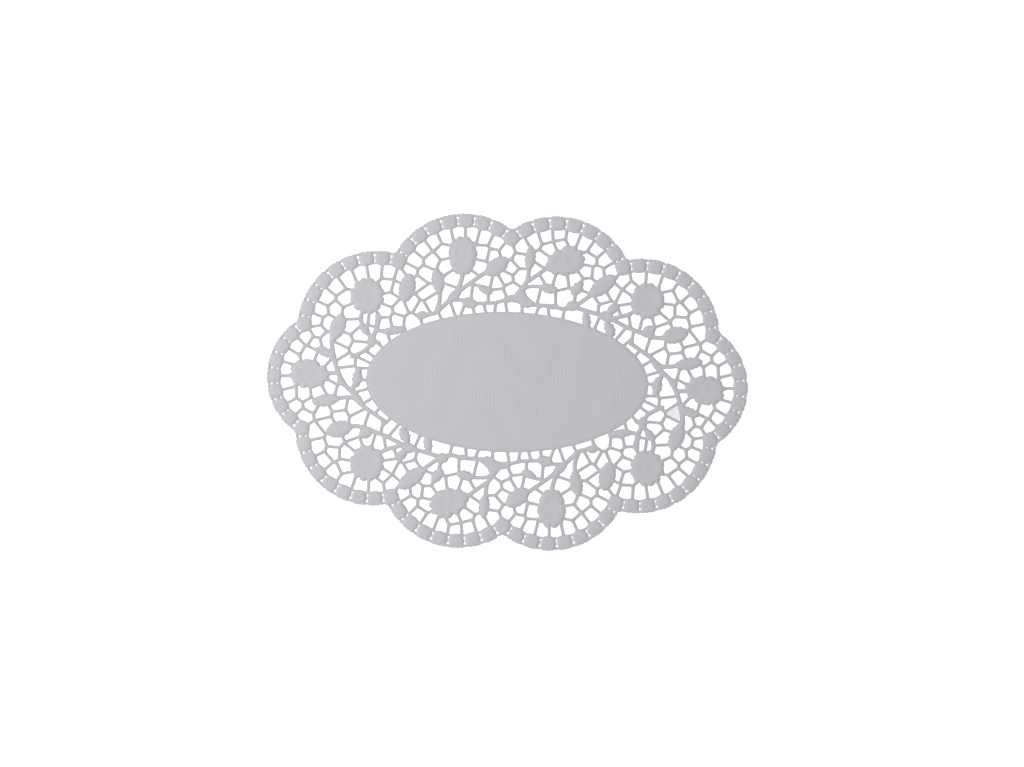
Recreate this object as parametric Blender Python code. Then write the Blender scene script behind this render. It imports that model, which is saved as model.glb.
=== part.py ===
"""An oval lace doily of die-cut paper, lying flat on its underside.

It is one sheet: a plain oval in the middle, a net with flowers, leaves and stems round it, and a
beaded band that follows ten scallops. The origin is the middle of the underside, +X runs along the
doily and +Z points up. Sizes in the tables are millimetres and angles are degrees. The pattern is the
same after half a turn about +Z, so the tables hold one half of it.
"""

import math
from collections import namedtuple

import bmesh
import bpy
import numpy as np
from mathutils import Vector
from mathutils.geometry import delaunay_2d_cdt

NODE = "doily"
MM = 0.001

# The sheet
SHEET = 1.0  # thickness of the solid that stands for the paper
RELIEF = 0.3  # how far the middle of a bead, flower or leaf is pressed up
OVAL_HALF_LENGTH = 77.5
OVAL_HALF_WIDTH = 38.6
OVAL_TILT = -1.5  # the oval lies a little aslant in the scallops
NOTCH_FILLET = 2.7  # rounds the notches between scallops

# The beaded band
BAND = 7.7
BAND_FILLET = 1.0  # rounds the band's inner edge under a notch
BEADS = 8  # beads on each scallop, the one in its notch included
VALLEY_INSET = 1.0  # from the band's edges to the ends of the valley between two beads

# The net
BAR = 1.55  # width of a bar
LEAST_GAP = 10.0  # square millimetres; smaller gaps stay uncut
MOST_GAPS = 300
RING_OFFSET = 3.3  # from a flower's edge to the middles of the gaps round it
OVAL_OFFSET = 3.4  # from the oval's edge to the middles of the gaps round it
OVAL_GAPS = 22  # gaps of one half that stand along the oval
OVAL_FROM = 165.0
OVAL_TO = -12.0
CLEARANCE = 5.2  # least distance between the middles of a ring's gaps and those already placed
FREE_GAPS = 78  # gaps of one half that belong to no row
SETTLE_STEPS = 5  # times that the free gaps move to the middle of their ground
EVENNESS = 0.8  # 1 spreads the free gaps as far apart as they go, less makes them irregular
SAMPLE = 0.7  # spacing of the grid on which the free gaps settle
SEED = 4
NEIGHBOURS = 22  # seeds near enough to bound a gap
REACH = 25.0  # no gap reaches further than this from its middle

# How finely the edges are drawn
OUTLINE_STEP = 4.4
CUT_STEP = 3.0
OVAL_POINTS = 72
LEAF_POINTS = 5  # along each side of a leaf
STEM_POINTS = 2  # between two bends of a stem
KNOB_POINTS = 10
PETAL_DEPTH = 0.06  # share of a flower's radius
LEAF_FULLNESS = 0.6  # 0.5 makes a leaf an ellipse, more draws its ends to a point
STRAY = 0.22  # how far a gap's edge may stray when points are dropped from it
SAME = 0.01  # two points closer than this are one

# A scallop's circle, and the row of gaps inside its band: first and last angle, count, depth from the rim.
Scallop = namedtuple("Scallop", "x y radius row_from row_to gaps row_depth")
SCALLOPS = (
    Scallop(-23.8, 49.1, 43.7, 159, 44, 10, 11.2),
    Scallop(26.9, 47.4, 43.9, 124.6, 23.8, 9, 11.2),
    Scallop(73.9, 25.1, 42.9, 108, 3.7, 8, 11.0),
    Scallop(95.0, -2.9, 37.3, 52, -70, 9, 10.6),
    Scallop(71.7, -28.2, 44.1, -20, -115, 8, 11.2),
)

# A flower's middle and size; taper narrows the end that points away from tilt.
Flower = namedtuple("Flower", "x y length width tilt taper petals gaps")
FLOWERS = (
    Flower(-24.4, 69.2, 22.7, 15.7, 88, 0.14, 11, 11),
    Flower(31.9, 66.3, 22.4, 16.1, 19, 0.14, 12, 11),
    Flower(77.1, 44.5, 20.4, 19.0, 90, 0.0, 12, 11),
    Flower(108.5, -4.4, 22.6, 16.2, -8, 0.14, 12, 11),
    Flower(77.0, -47.4, 20.2, 18.9, 90, 0.0, 12, 11),
)
Leaf = namedtuple("Leaf", "x y length width tilt")
LEAVES = (
    Leaf(-99.8, 16.4, 12.7, 4.9, -22),
    Leaf(-93.2, 30.3, 15.5, 8.3, 70),
    Leaf(-82.5, 2.3, 10.9, 5.3, 80),
    Leaf(-78.4, 29.2, 7.7, 4.4, -58),
    Leaf(-62.2, 28.4, 14.0, 4.6, 8),
    Leaf(-55.0, 51.8, 16.4, 9.0, 77),
    Leaf(-38.0, 55.7, 14.2, 6.8, 99),
    Leaf(-20.8, 43.5, 8.8, 5.9, -18),
    Leaf(-12.1, 50.8, 8.7, 4.4, -28),
    Leaf(-5.7, 63.6, 15.0, 8.9, 36),
    Leaf(10.4, 43.6, 9.5, 5.3, -11),
    Leaf(12.7, 68.3, 13.5, 5.7, 84),
    Leaf(23.0, 51.4, 9.9, 5.3, -13),
    Leaf(38.5, 51.5, 9.4, 5.5, 54),
    Leaf(43.6, 34.0, 9.4, 4.6, -80),
    Leaf(52.5, 52.9, 17.8, 8.6, 38),
    Leaf(56.4, 29.2, 9.4, 5.5, -65),
    Leaf(58.1, 40.2, 7.2, 5.0, 45),
    Leaf(77.6, 27.8, 7.8, 6.1, 42),
    Leaf(92.4, 25.8, 14.9, 9.0, 15),
    Leaf(99.8, 10.0, 15.5, 6.7, 8),
)

# A stem's width and the points that its middle line bends through.
Stem = namedtuple("Stem", "width bends")
STEMS = (
    Stem(2.4, ((-71.3, 38.0), (-71.3, 34.3), (-72.1, 28.8), (-73.8, 23.7), (-70.0, 21.2))),
    Stem(2.2, ((-80.3, 38.0), (-80.1, 32.1), (-76.5, 26.4), (-73.2, 24.8))),
    Stem(2.2, ((-75.0, 21.2), (-77.6, 17.8), (-83.9, 14.5), (-86.4, 13.8))),
    Stem(2.2, ((-72.0, 28.9), (-70.0, 28.2), (-66.4, 27.9))),
    Stem(2.3, ((-49.0, 34.9), (-43.1, 37.2), (-38.5, 38.9), (-28.5, 48.8), (-24.8, 57.5), (-24.2, 63.0))),
    Stem(2.2, ((-37.2, 50.6), (-37.2, 44.8), (-38.8, 39.7))),
    Stem(2.2, ((-28.5, 48.0), (-23.4, 52.3), (-14.6, 58.5), (-10.5, 61.1))),
    Stem(1.9, ((-20.6, 53.9), (-15.4, 53.0), (-12.7, 51.7))),
    Stem(1.9, ((-31.4, 45.1), (-24.8, 45.1), (-20.5, 43.5), (-12.9, 43.3), (-7.4, 43.6), (0.6, 45.5))),
    Stem(2.2, ((0.6, 45.4), (4.0, 46.8), (9.0, 53.0), (11.1, 56.0), (12.1, 62.7))),
    Stem(2.2, ((11.1, 55.1), (16.5, 58.9), (20.8, 61.9), (25.2, 65.0))),
    Stem(1.9, ((6.1, 49.7), (11.1, 52.3), (16.5, 52.6), (21.5, 52.0))),
    Stem(2.2, ((0.6, 45.4), (5.5, 44.6), (15.1, 42.4), (24.0, 41.8), (30.7, 40.2), (36.2, 41.4))),
    Stem(2.3, ((36.2, 41.4), (46.8, 38.1), (54.3, 36.0), (66.0, 30.1), (80.6, 24.6), (88.6, 24.5))),
    Stem(2.2, ((57.2, 34.7), (66.0, 36.9), (72.1, 40.2))),
    Stem(2.2, ((46.8, 48.4), (40.8, 44.0), (35.8, 41.0))),
    Stem(1.9, ((37.7, 49.0), (36.9, 45.1), (36.2, 41.0))),
    Stem(2.2, ((68.8, 20.6), (74.7, 16.4), (81.4, 11.3), (84.8, 5.1), (84.0, 0.6))),
    Stem(2.2, ((81.0, 11.3), (84.8, 8.8), (89.1, 8.4), (94.1, 9.1))),
    Stem(2.4, ((84.0, 6.6), (89.1, 1.7), (93.2, -5.9), (95.7, -15.2), (96.5, -23.1), (94.6, -28.1))),
    Stem(1.9, ((95.2, -14.3), (97.4, -16.0), (99.6, -16.2))),
    Stem(2.2, ((92.5, -5.0), (96.3, -5.0), (100.7, -5.0))),
)

# The knobs where stems meet or end.
Knob = namedtuple("Knob", "x y length width tilt")
KNOBS = (
    Knob(-74.7, 22.6, 7.0, 4.2, 98),
    Knob(-47.0, 37.2, 5.5, 3.8, 12),
    Knob(-29.1, 47.5, 9.5, 4.8, 44),
    Knob(1.2, 45.8, 7.5, 3.8, 18),
    Knob(24.9, 41.5, 4.4, 3.2, 0),
    Knob(35.6, 41.8, 6.4, 5.6, 0),
    Knob(54.6, 36.1, 7.4, 6.0, -20),
    Knob(68.4, 20.9, 4.2, 2.6, 145),
    Knob(82.5, 9.0, 8.5, 4.2, -49),
    Knob(91.3, -0.4, 5.5, 4.2, -49),
)


def on_circle(x, y, radius, degrees):
    turn = math.radians(degrees)
    return (x + radius * math.cos(turn), y + radius * math.sin(turn))


def placed(u, v, x, y, tilt):
    """A point of a motif's own frame, turned by tilt and moved to the motif's middle."""
    turn = math.radians(tilt)
    return (
        x + u * math.cos(turn) - v * math.sin(turn),
        y + u * math.sin(turn) + v * math.cos(turn),
    )


def half_turned(points):
    return [(-x, -y) for x, y in points]


def all_scallops():
    """The circles (x, y, radius) of the ten scallops, in order round the doily, clockwise."""
    half = [(s.x, s.y, s.radius) for s in SCALLOPS]
    return half + [(-x, -y, radius) for x, y, radius in half]


def notch_centre(first, second, inset, fillet):
    """The middle of the circle that touches two neighbouring scallops from outside, in their notch."""
    reach_first = first[2] - inset + fillet
    reach_second = second[2] - inset + fillet
    step_x = second[0] - first[0]
    step_y = second[1] - first[1]
    apart = math.hypot(step_x, step_y)
    along = (reach_first**2 - reach_second**2 + apart**2) / (2 * apart)
    aside = math.sqrt(reach_first**2 - along**2)
    # The scallops run clockwise, so the outside is on the left of the step from one to the next.
    return (
        first[0] + (along * step_x - aside * step_y) / apart,
        first[1] + (along * step_y + aside * step_x) / apart,
    )


def heading(start, end):
    return math.degrees(math.atan2(end[1] - start[1], end[0] - start[0]))


def scallop_arcs(inset, fillet):
    """Each scallop's arc at this depth: x, y, radius, first angle, clockwise sweep and the next notch."""
    circles = all_scallops()
    arcs = []
    for i, circle in enumerate(circles):
        following = circles[(i + 1) % len(circles)]
        before = notch_centre(circles[i - 1], circle, inset, fillet)
        after = notch_centre(circle, following, inset, fillet)
        start = heading(circle, before)
        sweep = (start - heading(circle, after)) % 360
        arcs.append((circle[0], circle[1], circle[2] - inset, start, sweep, after))
    return arcs


def scalloped_loop(inset, fillet, step):
    """The outline of the ten scallops, drawn in by inset, as points about step apart, clockwise."""
    arcs = scallop_arcs(inset, fillet)
    loop = []
    for i, (x, y, radius, start, sweep, notch) in enumerate(arcs):
        count = max(2, round(radius * math.radians(sweep) / step))
        loop += [on_circle(x, y, radius, start - sweep * k / count) for k in range(count + 1)]
        following = arcs[(i + 1) % len(arcs)]
        first = heading(notch, (x, y))
        turn = (heading(notch, following) - first) % 360
        bends = max(2, round(fillet * math.radians(turn) / step))
        loop += [on_circle(*notch, fillet, first + turn * k / bends) for k in range(1, bends)]
    return loop


def bead_stations():
    """(x, y, radius, angle) for each half bead round the band. Even ones are the middles of beads."""
    stations = []
    for x, y, radius, start, sweep, _ in scallop_arcs(BAND / 2, 0.0):
        for k in range(2 * BEADS):
            stations.append((x, y, radius + BAND / 2, start - sweep * k / (2 * BEADS)))
    return stations


def oval_point(offset, degrees):
    turn = math.radians(degrees)
    u = (OVAL_HALF_LENGTH + offset) * math.cos(turn)
    v = (OVAL_HALF_WIDTH + offset) * math.sin(turn)
    return placed(u, v, 0.0, 0.0, OVAL_TILT)


def oval_loop():
    return [oval_point(0.0, 360 * k / OVAL_POINTS) for k in range(OVAL_POINTS)]


def flower_point(flower, degrees, offset):
    """A point on a flower's edge, or offset outside it."""
    turn = math.radians(degrees)
    petal = 1 - PETAL_DEPTH * (1 - abs(math.sin(flower.petals * turn / 2)))
    u = (flower.length / 2 * petal + offset) * math.cos(turn)
    v = (flower.width / 2 * petal + offset) * math.sin(turn) * (1 + flower.taper * math.cos(turn))
    return placed(u, v, flower.x, flower.y, flower.tilt)


def flower_loop(flower):
    """Two points for each petal: its crest and the dip beside it."""
    count = 2 * flower.petals
    return [flower_point(flower, 360 * k / count, 0.0) for k in range(count)]


def leaf_loop(leaf):
    """A leaf pointed at both ends, widest in the middle."""
    stations = [math.cos(math.pi * k / LEAF_POINTS) for k in range(LEAF_POINTS)]
    upper = [(s, (1 - s * s) ** LEAF_FULLNESS) for s in stations]
    outline = upper + [(-s, -bulge) for s, bulge in upper]
    return [
        placed(s * leaf.length / 2, bulge * leaf.width / 2, leaf.x, leaf.y, leaf.tilt)
        for s, bulge in outline
    ]


def smooth_line(bends):
    """Points on the Catmull-Rom curve through the bends."""
    padded = [bends[0], *bends, bends[-1]]
    line = []
    for a, b, c, d in zip(padded, padded[1:], padded[2:], padded[3:]):
        for k in range(STEM_POINTS):
            t = k / STEM_POINTS
            line.append(
                tuple(
                    b[i]
                    + 0.5 * t * (c[i] - a[i])
                    + t * t * (a[i] - 2.5 * b[i] + 2 * c[i] - 0.5 * d[i])
                    + t * t * t * (-0.5 * a[i] + 1.5 * b[i] - 1.5 * c[i] + 0.5 * d[i])
                    for i in (0, 1)
                )
            )
    return [*line, bends[-1]]


def stem_loop(stem):
    """The strip along a stem's middle line."""
    line = np.array(smooth_line(stem.bends))
    along = np.gradient(line, axis=0)
    along /= np.hypot(along[:, 0], along[:, 1])[:, None]
    aside = np.column_stack([-along[:, 1], along[:, 0]]) * stem.width / 2
    return [tuple(p) for p in np.vstack([line - aside, (line + aside)[::-1]])]


def motif_loops():
    """The edges of every flower, leaf and stem of both halves, anticlockwise."""
    half = [flower_loop(flower) for flower in FLOWERS]
    half += [leaf_loop(leaf) for leaf in LEAVES]
    half += [stem_loop(stem) for stem in STEMS]
    return half + [half_turned(loop) for loop in half]


def knob_loops():
    """The edges of the knobs of both halves, anticlockwise."""
    half = []
    for knob in KNOBS:
        rim = [on_circle(0.0, 0.0, 0.5, 360 * k / KNOB_POINTS) for k in range(KNOB_POINTS)]
        half.append([placed(u * knob.length, v * knob.width, knob.x, knob.y, knob.tilt) for u, v in rim])
    return half + [half_turned(loop) for loop in half]


def inside(points, loop):
    """Which of the points lie inside the loop."""
    x = points[:, 0]
    y = points[:, 1]
    hit = np.zeros(len(points), bool)
    for (ax, ay), (bx, by) in zip(loop, loop[1:] + loop[:1]):
        if ay != by:
            crosses = (ay > y) != (by > y)
            hit ^= crosses & (x < ax + (y - ay) * (bx - ax) / (by - ay))
    return hit


def off_motifs(points, motifs):
    """Which of the points lie on none of the motifs."""
    points = np.asarray(points)
    return ~np.any([inside(points, loop) for loop in motifs], axis=0)


def nearest_gap(seeds, point):
    return min(math.hypot(x - point[0], y - point[1]) for x, y in seeds + half_turned(seeds))


def row_seeds(motifs):
    """The middles of one half's gaps that stand in rows: inside the band, round the oval and the flowers."""
    seeds = []
    for s in SCALLOPS:
        for k in range(s.gaps):
            degrees = s.row_from + (s.row_to - s.row_from) * k / (s.gaps - 1)
            seeds.append(on_circle(s.x, s.y, s.radius - s.row_depth, degrees))
    for k in range(OVAL_GAPS):
        degrees = OVAL_FROM + (OVAL_TO - OVAL_FROM) * k / (OVAL_GAPS - 1)
        seeds.append(oval_point(OVAL_OFFSET, degrees))
    for flower in FLOWERS:
        for k in range(flower.gaps):
            point = flower_point(flower, 360 * (k + 0.5) / flower.gaps, RING_OFFSET)
            if nearest_gap(seeds, point) > CLEARANCE:
                seeds.append(point)
    return [seed for seed, clear in zip(seeds, off_motifs(seeds, motifs)) if clear]


def net_ground(motifs):
    """Grid points all over the net, outside the oval and the motifs."""
    rim = scalloped_loop(BAND, BAND_FILLET, CUT_STEP)
    reach_x = max(x for x, y in rim)
    reach_y = max(y for x, y in rim)
    x, y = np.meshgrid(np.arange(-reach_x, reach_x, SAMPLE), np.arange(-reach_y, reach_y, SAMPLE))
    points = np.column_stack([x.ravel(), y.ravel()])
    points = points[inside(points, rim)]
    return points[off_motifs(points, [oval_loop(), *motifs])]


def net_seeds(motifs):
    """The middles of one half's gaps: the rows, then the free ones, spread out and settled between them."""
    fixed = row_seeds(motifs)
    ground = net_ground(motifs)
    chance = np.random.default_rng(SEED)
    seeds = np.array(fixed)
    spread = np.full(len(ground), np.inf)
    for x, y in fixed + half_turned(fixed):
        spread = np.minimum(spread, np.hypot(ground[:, 0] - x, ground[:, 1] - y))
    for _ in range(FREE_GAPS):
        x, y = ground[np.argmax(spread * chance.uniform(EVENNESS, 1.0, len(ground)))]
        seeds = np.vstack([seeds, (x, y)])
        for turned in (1, -1):
            spread = np.minimum(spread, np.hypot(ground[:, 0] - turned * x, ground[:, 1] - turned * y))
    for _ in range(SETTLE_STEPS):
        both = np.vstack([seeds, -seeds])
        gaps = (ground[:, None, 0] - both[:, 0]) ** 2 + (ground[:, None, 1] - both[:, 1]) ** 2
        owner = np.argmin(gaps, axis=1)
        count = np.bincount(owner, minlength=len(both))
        middle = np.column_stack([np.bincount(owner, axis, len(both)) for axis in ground.T])
        middle /= np.maximum(count, 1)[:, None]
        # The two halves hold the same ground turned round, but for the grid, so they are averaged.
        middle = (middle[: len(seeds)] - middle[len(seeds) :]) / 2
        for k in range(len(fixed), len(seeds)):
            apart = np.hypot(ground[:, 0] - middle[k, 0], ground[:, 1] - middle[k, 1])
            seeds[k] = ground[np.argmin(apart)]
    return seeds


def cell_loop(seed, others):
    """The ground nearer to this seed than to the others, less half a bar at each side."""
    corners = ((-REACH, -REACH), (REACH, -REACH), (REACH, REACH), (-REACH, REACH))
    loop = [(seed[0] + x, seed[1] + y) for x, y in corners]
    for other in others:
        normal = other - seed
        apart = math.hypot(*normal)
        normal = normal / apart
        limit = float(normal @ seed) + apart / 2 - BAR / 2
        depth = [limit - (normal[0] * x + normal[1] * y) for x, y in loop]
        if min(depth) >= 0:
            continue
        cut = []
        for k, (x, y) in enumerate(loop):
            before_x, before_y = loop[k - 1]
            if (depth[k] >= 0) != (depth[k - 1] >= 0):
                share = depth[k - 1] / (depth[k - 1] - depth[k])
                cut.append((before_x + share * (x - before_x), before_y + share * (y - before_y)))
            if depth[k] >= 0:
                cut.append((x, y))
        loop = cut
    return loop


def motif_spines():
    """The line down the middle of each stem and leaf and across each flower, as (start, end) pairs."""
    spines = []
    for stem in STEMS:
        line = smooth_line(stem.bends)
        spines += list(zip(line, line[1:]))
    for motif in (*LEAVES, *FLOWERS):
        for size, tilt in ((motif.length, motif.tilt), (motif.width, motif.tilt + 90)):
            spines.append(
                (
                    placed(size / 2, 0.0, motif.x, motif.y, tilt),
                    placed(-size / 2, 0.0, motif.x, motif.y, tilt),
                )
            )
    half = np.array(spines)
    return np.vstack([half, -half])


def side(start, end, point):
    """Positive where the point is on the left of the line from start to end."""
    return (end[..., 0] - start[..., 0]) * (point[..., 1] - start[..., 1]) - (
        end[..., 1] - start[..., 1]
    ) * (point[..., 0] - start[..., 0])


def net_neighbours(seeds):
    """For each seed the nearest others, and which of them a stem, leaf or flower hides from it."""
    spines = motif_spines()
    start = spines[:, 0]
    end = spines[:, 1]
    neighbours = []
    for i, seed in enumerate(seeds):
        order = np.argsort(np.hypot(seeds[:, 0] - seed[0], seeds[:, 1] - seed[1]))
        order = [j for j in order if j != i][:NEIGHBOURS]
        hidden = set()
        for j in order:
            across = side(start, end, seed) * side(start, end, seeds[j]) < 0
            along = side(seed, seeds[j], start) * side(seed, seeds[j], end) < 0
            if np.any(across & along):
                hidden.add(j)
        neighbours.append((order, hidden))
    return neighbours


def area(loop):
    ahead = loop[1:] + loop[:1]
    return sum(ax * by - bx * ay for (ax, ay), (bx, by) in zip(loop, ahead)) / 2


def triangulated(loops, extra=()):
    """Triangles over all the loops: (points, triangles, the loops that each triangle lies in)."""
    points = []
    faces = []
    for loop in loops:
        start = len(points)
        points += [Vector(p) for p in loop]
        faces.append(list(range(start, len(points))))
    points += [Vector(p) for p in extra]
    found = delaunay_2d_cdt(points, [], faces, 0, 1e-5)
    corners, triangles, owners = found[0], found[2], found[5]
    return corners, triangles, owners


def reached(seed, points, triangles, mine):
    """Those of the triangles that join up with the one that the seed lies in."""
    edge_owner = {}
    first = None
    for t in mine:
        a, b, c = triangles[t]
        for edge in ((a, b), (b, c), (c, a)):
            edge_owner[edge] = t
        corners = [np.array(points[i]) for i in (a, b, c)]
        if all(side(corners[k - 1], corners[k], seed) >= 0 for k in range(3)):
            first = t
    if first is None:
        return []
    found = [first]
    seen = {first}
    for t in found:
        a, b, c = triangles[t]
        for edge in ((b, a), (c, b), (a, c)):
            following = edge_owner.get(edge)
            if following is not None and following not in seen:
                seen.add(following)
                found.append(following)
    return found


def border(triangles):
    """The loop of points round the triangles."""
    ahead = {}
    edges = {(t[k - 1], t[k]) for t in triangles for k in range(3)}
    for a, b in edges:
        if (b, a) not in edges:
            ahead.setdefault(a, []).append(b)
    loops = []
    while ahead:
        chain = [min(ahead)]
        while True:
            following = ahead[chain[-1]]
            step = following.pop()
            if not following:
                del ahead[chain[-1]]
            if step == chain[0]:
                break
            chain.append(step)
        loops.append(chain)
    return max(loops, key=len)


def gap_loops(seeds, motifs):
    """The edges of one half's gaps. A gap is the ground nearer to its seed than to any other seed in
    sight, less half a bar at each side, cut off by the band, the oval and the motifs."""
    rim = scalloped_loop(BAND, BAND_FILLET, CUT_STEP)[::-1]
    both = np.vstack([seeds, -seeds])
    neighbours = net_neighbours(both)
    while True:
        cells = []
        for seed, (order, hidden) in zip(both, neighbours):
            cells.append(cell_loop(seed, [both[j] for j in order if j not in hidden]))
        points, triangles, owners = triangulated([*cells, rim, oval_loop(), *motifs])
        rim_index = len(cells)
        mine = [[] for _ in cells]
        for t, owner in enumerate(owners):
            if rim_index in owner and max(owner) == rim_index:
                for i in owner:
                    if i < rim_index:
                        mine[i].append(t)
        taken = {}
        clashes = set()
        gaps = []
        for i, seed in enumerate(both):
            gaps.append(reached(seed, points, triangles, mine[i]))
            for t in gaps[i]:
                if t in taken:
                    clashes.add((taken[t], i))
                taken[t] = i
        if not clashes:
            break
        for i, j in clashes:
            neighbours[i][1].discard(j)
            neighbours[j][1].discard(i)
    loops = []
    for gap in gaps[: len(seeds)]:
        if gap:
            loops.append([tuple(points[i]) for i in border([triangles[t] for t in gap])])
    return loops


def thinned(loop, tolerance):
    """The loop without the points that stray less than tolerance from the line between their neighbours."""
    kept = list(loop)
    while len(kept) > 4:
        strays = []
        for k, (x, y) in enumerate(kept):
            ax, ay = kept[k - 1]
            bx, by = kept[(k + 1) % len(kept)]
            base = math.hypot(bx - ax, by - ay)
            strays.append(abs((bx - ax) * (y - ay) - (by - ay) * (x - ax)) / base if base else 0.0)
        least = min(strays)
        if least > tolerance:
            break
        del kept[strays.index(least)]
    return kept


def cut_gaps():
    """The gaps that are cut, both halves, the largest first."""
    motifs = motif_loops()
    loops = gap_loops(net_seeds(motifs), motifs + knob_loops())
    sized = sorted((thinned(loop, STRAY) for loop in loops), key=area, reverse=True)
    half = [loop for loop in sized if area(loop) > LEAST_GAP][: MOST_GAPS // 2]
    return half + [half_turned(loop) for loop in half]


def crests():
    """Where the sheet is pressed up: the middle of each bead, flower, leaf and knob."""
    middles = [(motif.x, motif.y) for motif in (*FLOWERS, *LEAVES, *KNOBS)]
    beads = [on_circle(x, y, r - BAND / 2, turn) for x, y, r, turn in bead_stations()[::2]]
    return middles + half_turned(middles) + beads


def valleys():
    """Points of the plain sheet between neighbouring beads, near the band's two edges."""
    points = []
    for x, y, radius, turn in bead_stations()[1::2]:
        points.append(on_circle(x, y, radius - VALLEY_INSET, turn))
        points.append(on_circle(x, y, radius - BAND + VALLEY_INSET, turn))
    return points


def sheet_mesh(name):
    """The sheet: its outline and gaps filled in the plane, given its thickness, and pressed up."""
    outline = scalloped_loop(0.0, NOTCH_FILLET, OUTLINE_STEP)[::-1]
    raised = crests()
    points, triangles, owners = triangulated([outline, *cut_gaps()], raised + valleys())
    bm = bmesh.new()
    verts = [bm.verts.new((x * MM, y * MM, 0.0)) for x, y in points]
    for triangle, owner in zip(triangles, owners):
        if owner == [0]:
            bm.faces.new([verts[i] for i in triangle])
    bmesh.ops.delete(bm, geom=[vert for vert in verts if not vert.link_faces], context="VERTS")
    upper = bmesh.ops.extrude_face_region(bm, geom=bm.faces[:], use_keep_orig=True)["geom"]
    for vert in upper:
        if isinstance(vert, bmesh.types.BMVert):
            pressed = any(math.hypot(vert.co.x / MM - x, vert.co.y / MM - y) < SAME for x, y in raised)
            vert.co.z = (SHEET + RELIEF if pressed else SHEET) * MM
    bmesh.ops.recalc_face_normals(bm, faces=bm.faces[:])
    mesh = bpy.data.meshes.new(name)
    bm.to_mesh(mesh)
    bm.free()
    return mesh


def paper_material():
    """Matt, slightly cool white paper."""
    material = bpy.data.materials.new("paper")
    material.use_nodes = True
    finish = material.node_tree.nodes["Principled BSDF"]
    finish.inputs["Base Color"].default_value = (0.53, 0.54, 0.56, 1.0)
    finish.inputs["Roughness"].default_value = 0.85
    finish.inputs["Metallic"].default_value = 0.0
    return material


def main():
    for old in list(bpy.data.objects):
        bpy.data.objects.remove(old, do_unlink=True)
    doily = bpy.data.objects.new(NODE, sheet_mesh(NODE))
    doily.data.materials.append(paper_material())
    bpy.context.scene.collection.objects.link(doily)


if __name__ == "__main__":
    main()
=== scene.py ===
"""Dresses an oval lace doily of die-cut, embossed paper.

The sheet is drawn as its cut edges, filled, drawn finer, pressed up into relief and given its
thickness. Sizes in the pattern's tables are millimetres and angles are degrees. The pattern is the
same after half a turn about +Z, so the tables hold one half of it. The tables and the rules for the
net are those that the solid was made with, so its gaps lie in the same places. It has no slits
between its beads, and its smallest gaps are uncut.
"""

from collections import namedtuple
from functools import lru_cache
from math import atan2, cos, degrees, hypot, pi, radians, sin, sqrt, tan

import bmesh
import bpy
import numpy as np
from bpy.props import FloatProperty, FloatVectorProperty, PointerProperty
from bpy.types import Operator, Panel, PropertyGroup
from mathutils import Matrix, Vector
from mathutils.geometry import delaunay_2d_cdt
from mathutils.kdtree import KDTree


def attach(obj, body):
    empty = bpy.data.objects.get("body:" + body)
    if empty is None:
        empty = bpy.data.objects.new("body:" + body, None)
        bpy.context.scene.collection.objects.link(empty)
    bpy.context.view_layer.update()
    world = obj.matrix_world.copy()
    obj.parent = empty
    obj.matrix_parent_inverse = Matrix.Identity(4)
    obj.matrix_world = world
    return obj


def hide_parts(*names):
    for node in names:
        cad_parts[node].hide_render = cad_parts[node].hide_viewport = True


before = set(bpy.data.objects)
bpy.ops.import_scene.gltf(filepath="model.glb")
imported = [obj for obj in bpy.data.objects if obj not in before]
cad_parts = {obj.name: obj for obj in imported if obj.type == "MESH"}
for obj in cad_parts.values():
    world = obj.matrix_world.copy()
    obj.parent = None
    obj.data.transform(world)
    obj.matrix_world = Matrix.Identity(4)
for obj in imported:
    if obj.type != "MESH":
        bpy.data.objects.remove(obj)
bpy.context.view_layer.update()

bl_info = {
    "name": "Lace paper doily",
    "version": (1, 0, 0),
    "blender": (4, 5, 0),
    "location": "3D View > Sidebar > Doily",
    "description": "Builds an oval die-cut and embossed paper doily, with its floor, lights and camera",
    "category": "Object",
}

NODE = "doily"
MM = 0.001

# The sheet
OVAL_HALF_LENGTH = 77.5
OVAL_HALF_WIDTH = 38.6
OVAL_TILT = -1.5  # it lies a little aslant
NOTCH_FILLET = 2.7  # rounds the notches between scallops

# The beaded band
BAND = 7.7
BAND_FILLET = 1.0  # rounds the band's inner edge under a notch
BEADS = 8  # on a scallop, with the one in its notch
BEAD_BULGE = 0.35  # into the net
ROPE = 1.5  # width of the twisted edge
ROPE_STRAND = 2.5  # length of a strand along it
ROPE_NICK = 0.7  # depth of the dips between them
ROPE_EVEN = 0.6  # share of that depth that all dips have
ROPE_DRIFT = 1.9  # radians a strand, by which the rest comes and goes
BEAD_NICK = 0.35  # depth of the dips between beads
BEAD_NICK_SHARPNESS = 8

# The net
RING_OFFSET = 3.3  # from a flower's edge to the middles of its gaps
OVAL_OFFSET = 3.4  # the same for the oval
OVAL_GAPS = 22  # of one half, along the oval
OVAL_FROM = 165.0  # degrees round the oval, from the first
OVAL_TO = -12.0  # to the last
CLEARANCE = 5.2  # least way from a ring's gap to those before it
FREE_GAPS = 78  # of one half, in no row
SETTLE_STEPS = 5  # times that they move to their ground's middle
EVENNESS = 0.8  # 1 spreads the free gaps evenly, less makes them irregular
SAMPLE = 0.7  # spacing of the grid on which they settle
SEED = 4
NEIGHBOURS = 22  # seeds near enough to bound a gap
REACH = 25.0  # no gap reaches further from its middle
WELD = 1e-5  # nearer points are one
LEAST_GAP = 3.0  # square millimetres; smaller gaps stay uncut
STRAY = 0.06  # how far a gap's edge may stray as points are dropped
LEAST_CORNERS = 4
CORNER_SHARE = 0.48  # share of a side that a rounded corner may take up
CORNER_STEP = 35  # degrees between the sides of a rounded corner
PETAL_DEPTH = 0.06  # share of a flower's radius
PETAL_NICK = 1.0  # deepest nick between two petals
NICK_SHARPNESS = 6
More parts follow.
